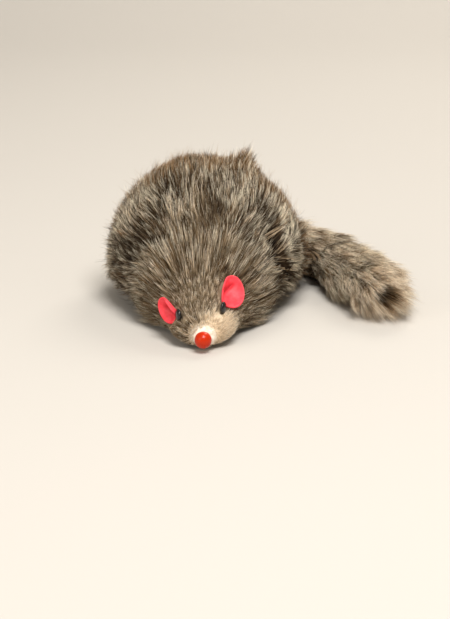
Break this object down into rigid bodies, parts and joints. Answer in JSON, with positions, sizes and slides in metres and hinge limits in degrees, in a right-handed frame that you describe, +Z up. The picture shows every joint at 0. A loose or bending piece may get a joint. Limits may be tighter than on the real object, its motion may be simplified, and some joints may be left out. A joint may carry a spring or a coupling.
{
  "type": "clockwork fur mouse toy",
  "caption": "Wind-up toy mouse: furry dome body with pink ears, bead eyes and nose, clockwork drive to its rear wheels, front castor and a bendable fluffy tail.",
  "frame": {"origin": "centre of the chassis' flat underside, 3 mm above the floor the wheels stand on", "axes": "+Z up, -Y towards the nose, +X towards the mouse's left side, where the key and the tail lie"},
  "size_m": [0.1087, 0.1224, 0.0545],
  "materials": {
    "hard_black": "satin",
    "shell_grey": "matte",
    "fur_agouti": "matte",
    "fur_face": "matte",
    "ear_coral": "satin",
    "bead_black": "gloss",
    "bead_orange": "gloss",
    "steel": "satin",
    "brass": "satin",
    "spring_steel": "satin",
    "wheel_plastic": "satin",
    "tyre_black": "matte",
    "leather_tan": "matte"
  },
  "bodies": {
    "mouse_body": {"chassis": "hard_black", "body_shell": "shell_grey", "body_pelt": "fur_agouti", "face_pelt": "fur_face", "left_ear": "ear_coral", "right_ear": "ear_coral", "left_eye": "bead_black", "right_eye": "bead_black", "nose_bead": "bead_orange", "motor_plate_left": "steel", "motor_plate_right": "steel", "motor_pillars": "steel", "motor_screws": "steel", "shell_screws": "steel", "mainspring": "spring_steel", "tail_rivet": "brass"},
    "drive_axle_set": {"drive_axle": "steel", "axle_pinion": "brass", "left_hub": "wheel_plastic", "left_tyre": "tyre_black", "right_hub": "wheel_plastic", "right_tyre": "tyre_black"},
    "second_shaft": {"second_arbor": "steel", "second_pinion": "brass", "second_wheel": "brass"},
    "great_wheel_set": {"great_wheel": "brass", "click_stud": "steel", "click_spring": "spring_steel"},
    "click": {"click": "steel"},
    "winder": {"winding_arbor": "steel", "ratchet_wheel": "steel", "winding_key": "steel"},
    "castor_swivel": {"castor_fork": "hard_black", "castor_pin": "steel", "castor_washer": "steel"},
    "castor_roller": {"castor_wheel": "wheel_plastic"},
    "tail_eyelet": {"tail_tab": "leather_tan"},
    "tail_base": {"tail_strip_base": "leather_tan", "tail_fur_base": "fur_agouti"},
    "tail_end": {"tail_strip_end": "leather_tan", "tail_fur_end": "fur_agouti"}
  },
  "joints": [
    {"name": "drive_axle_spin", "type": "hinge", "parent": "mouse_body", "child": "drive_axle_set", "pos_m": [0, 0.025, 0.006], "axis": [1, 0, 0], "continuous": true},
    {"name": "second_shaft_spin", "type": "hinge", "parent": "mouse_body", "child": "second_shaft", "pos_m": [0, 0.02212, 0.01765], "axis": [1, 0, 0], "continuous": true},
    {"name": "great_wheel_spin", "type": "hinge", "parent": "mouse_body", "child": "great_wheel_set", "pos_m": [0, 0.0075, 0.021], "axis": [1, 0, 0], "continuous": true},
    {"name": "winding", "type": "hinge", "parent": "great_wheel_set", "child": "winder", "pos_m": [0, 0.0075, 0.021], "axis": [-1, 0, 0], "range_deg": [0, 1890], "deforming": ["mainspring"]},
    {"name": "click_lift", "type": "hinge", "parent": "great_wheel_set", "child": "click", "pos_m": [-0.0005, 0.0075, 0.03], "axis": [1, 0, 0], "range_deg": [-6.5, 2]},
    {"name": "castor_swivel_turn", "type": "hinge", "parent": "mouse_body", "child": "castor_swivel", "pos_m": [0, -0.02, 0.005], "axis": [0, 0, 1], "continuous": true},
    {"name": "castor_wheel_spin", "type": "hinge", "parent": "castor_swivel", "child": "castor_roller", "pos_m": [0, -0.017, 0.0015], "axis": [1, 0, 0], "continuous": true},
    {"name": "tail_swing", "type": "hinge", "parent": "mouse_body", "child": "tail_eyelet", "pos_m": [0, 0.047, 0.0026], "axis": [0, 0, 1], "range_deg": [-2, 75]},
    {"name": "tail_lift", "type": "hinge", "parent": "tail_eyelet", "child": "tail_base", "pos_m": [0.01137, 0.05947, 0.00338], "axis": [-0.4789, -0.8779, 0], "range_deg": [-40, 40]},
    {"name": "tail_bend", "type": "hinge", "parent": "tail_base", "child": "tail_end", "pos_m": [0.05, 0.038, 0.0056], "axis": [0, 0, 1], "range_deg": [-15, 38]}
  ],
  "couplings": [
    {"joint": "second_shaft_spin", "follows": "drive_axle_spin", "ratio": -0.33333},
    {"joint": "great_wheel_spin", "follows": "drive_axle_spin", "ratio": 0.083333}
  ]
}
